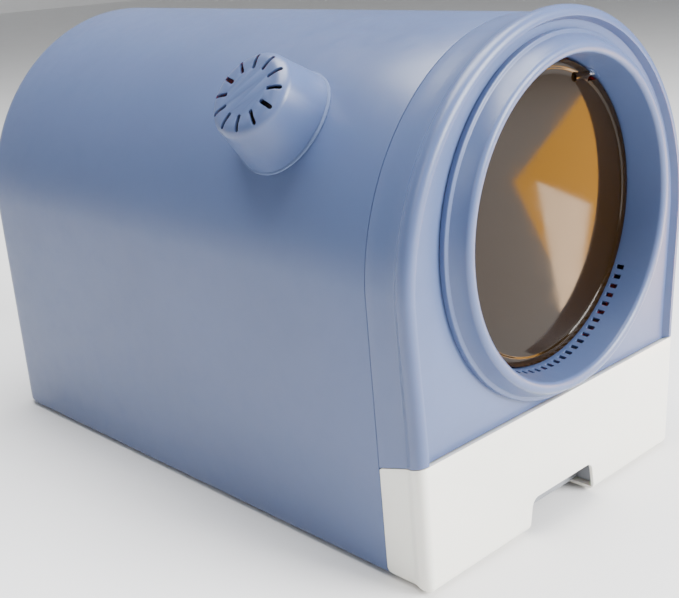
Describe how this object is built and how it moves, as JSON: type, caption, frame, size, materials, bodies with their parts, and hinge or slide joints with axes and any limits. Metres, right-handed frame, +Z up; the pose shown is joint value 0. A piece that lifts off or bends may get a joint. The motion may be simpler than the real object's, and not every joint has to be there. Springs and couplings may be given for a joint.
{
  "type": "hooded cat litter box",
  "caption": "Cat litter box with a tunnel hood, round entry with a see-through swing flap, pull-out litter drawer and a vented carbon filter cup.",
  "frame": {"origin": "on the floor, under the middle of the whole box; the filter cup overhangs on the left, so the middle of the body is 4.6 mm to the right of it", "axes": "+Z up, the round entry and the drawer face -Y, +X to the right seen from the front"},
  "size_m": [0.3892, 0.598, 0.423],
  "materials": {
    "hood_blue": "satin moulded polypropylene, periwinkle blue",
    "drawer_white": "satin moulded polypropylene, warm white",
    "flap_amber": "clear tinted amber, polished",
    "tray_grey": "satin moulded polypropylene, grey",
    "seal_rubber": "soft rubber, dark blue",
    "foot_rubber": "soft rubber, black",
    "carbon_felt": "carbon-loaded felt, black",
    "steel": "bright zinc-plated"
  },
  "bodies": {
    "box": {"body_shell": "hood_blue", "front_frame": "hood_blue", "entry_collar": "hood_blue", "flap_pin_left": "steel", "flap_pin_right": "steel", "collar_screw_1": "steel", "collar_screw_2": "steel", "collar_screw_3": "steel", "collar_screw_4": "steel", "collar_screw_5": "steel", "collar_screw_6": "steel", "filter_seal": "seal_rubber", "foot_front_left": "foot_rubber", "foot_front_right": "foot_rubber", "foot_rear_left": "foot_rubber", "foot_rear_right": "foot_rubber"},
    "flap": {"entry_flap": "flap_amber"},
    "drawer": {"litter_tray": "tray_grey", "drawer_front": "drawer_white", "drawer_screw_1": "steel", "drawer_screw_2": "steel", "drawer_screw_3": "steel", "drawer_screw_4": "steel"},
    "filter_cup": {"filter_cap": "hood_blue", "carbon_filter": "carbon_felt", "filter_grille": "tray_grey"}
  },
  "joints": [
    {"name": "flap_hinge", "type": "hinge", "parent": "box", "child": "flap", "pos_m": [0.00463, -0.264, 0.362], "axis": [1, 0, 0], "range_deg": [-20, 80]},
    {"name": "drawer_slide", "type": "slide", "parent": "box", "child": "drawer", "axis": [0, -1, 0], "range_m": [0, 0.45]},
    {"name": "filter_cup_pull", "type": "slide", "parent": "box", "child": "filter_cup", "axis": [-0.7934, 0, 0.6088], "range_m": [0, 0.045]}
  ]
}
